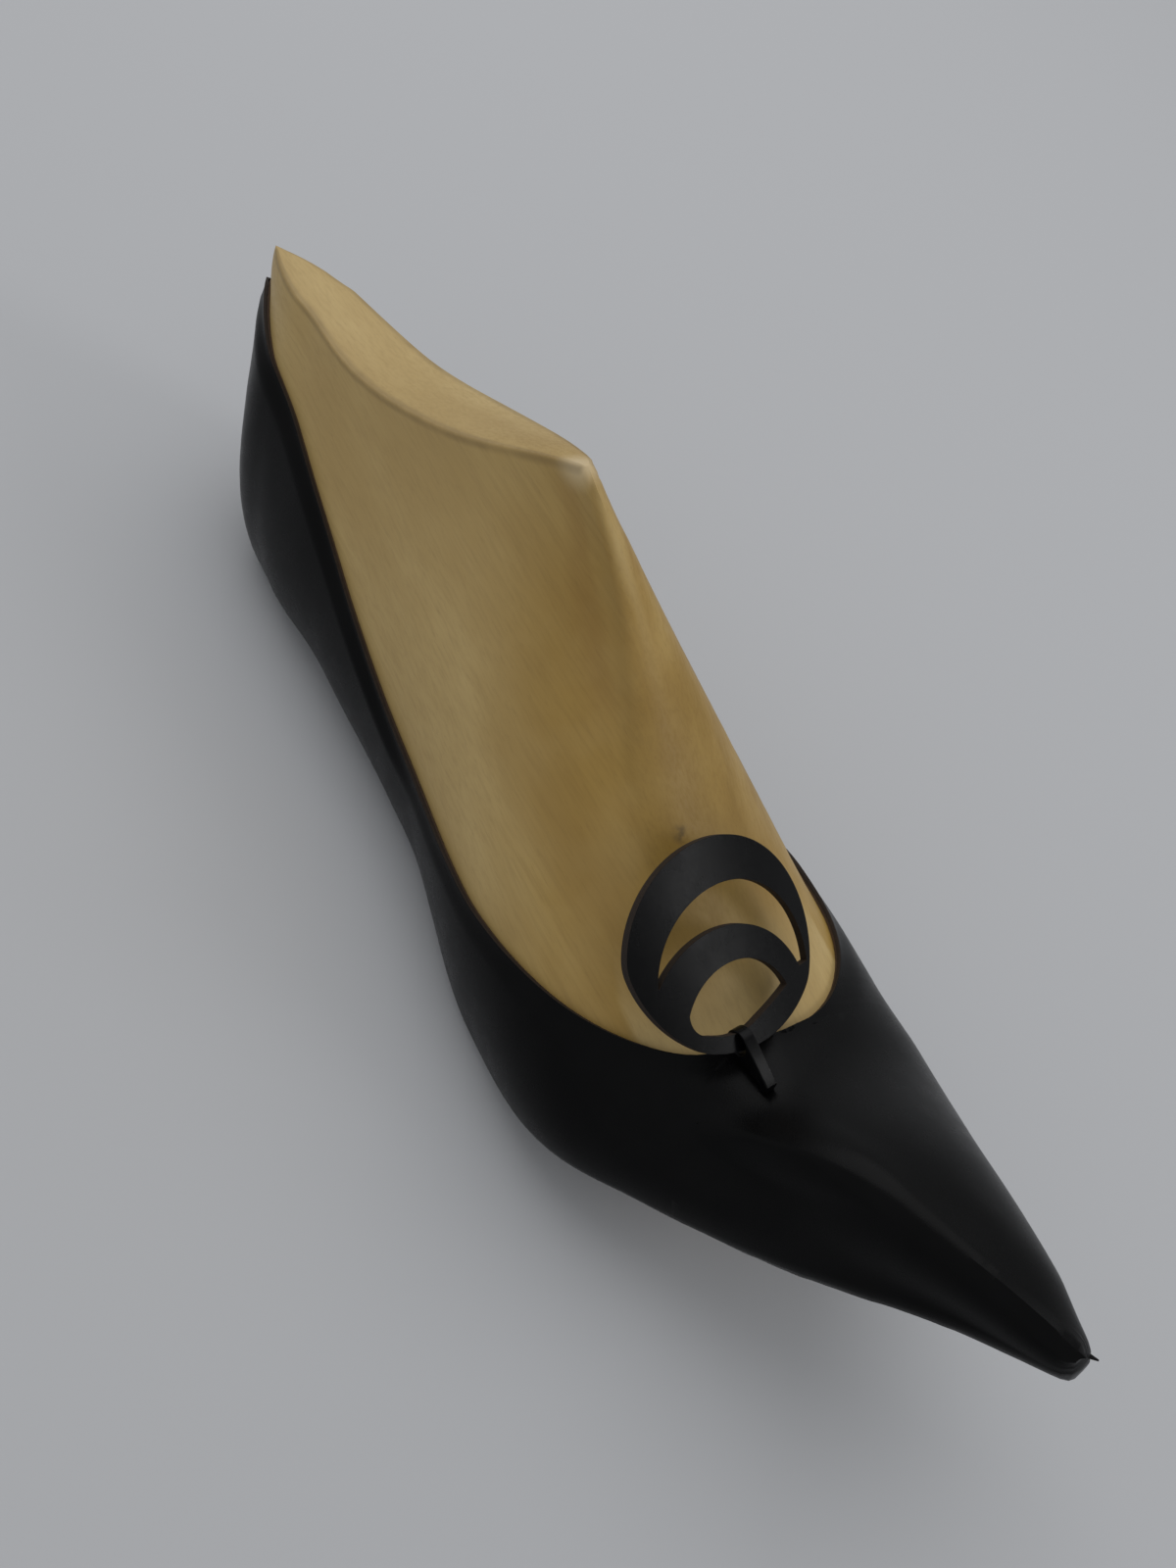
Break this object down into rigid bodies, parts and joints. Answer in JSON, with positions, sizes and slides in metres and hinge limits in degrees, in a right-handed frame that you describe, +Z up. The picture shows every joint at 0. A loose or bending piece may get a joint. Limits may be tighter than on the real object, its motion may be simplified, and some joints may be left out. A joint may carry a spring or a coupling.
{
  "type": "cobbler last",
  "caption": "One-piece wooden shoe last with a pointed pump upper lasted over it, insole, stiffeners and shank in place, and a hinged leather ornament held by a strap.",
  "frame": {"origin": "middle of the bounding box in plan, on the surface that the last rests on", "axes": "+X from heel to toe, +Z up with the last tipped back on the back of its heel and both sides of its ball, +Y to the outer side of the foot"},
  "size_m": [0.2916, 0.0848, 0.0995],
  "materials": {
    "beech": "sanded and waxed",
    "black_leather": "satin",
    "brown_lining": "matte",
    "insole_board": "matte",
    "stiffener": "matte",
    "steel": "bright"
  },
  "bodies": {
    "lasted_shoe": {"last_body": "beech", "insole_board": "insole_board", "lining": "brown_lining", "upper": "black_leather", "toe_puff": "stiffener", "heel_counter": "stiffener", "keeper_strap": "black_leather", "steel_shank": "steel", "shank_rivet_1": "steel", "shank_rivet_2": "steel", "insole_tack_1": "steel", "insole_tack_2": "steel", "lasting_tack_1": "steel", "lasting_tack_2": "steel", "lasting_tack_3": "steel", "lasting_tack_4": "steel", "lasting_tack_5": "steel", "lasting_tack_6": "steel", "lasting_tack_7": "steel", "lasting_tack_8": "steel"},
    "ornament": {"ring_ornament": "black_leather"}
  },
  "joints": [
    {"name": "ornament_swing", "type": "hinge", "parent": "lasted_shoe", "child": "ornament", "pos_m": [0.06828, -0.01242, 0.05219], "axis": [-0.0001, 1, 0.0005], "range_deg": [-8, 105]}
  ]
}
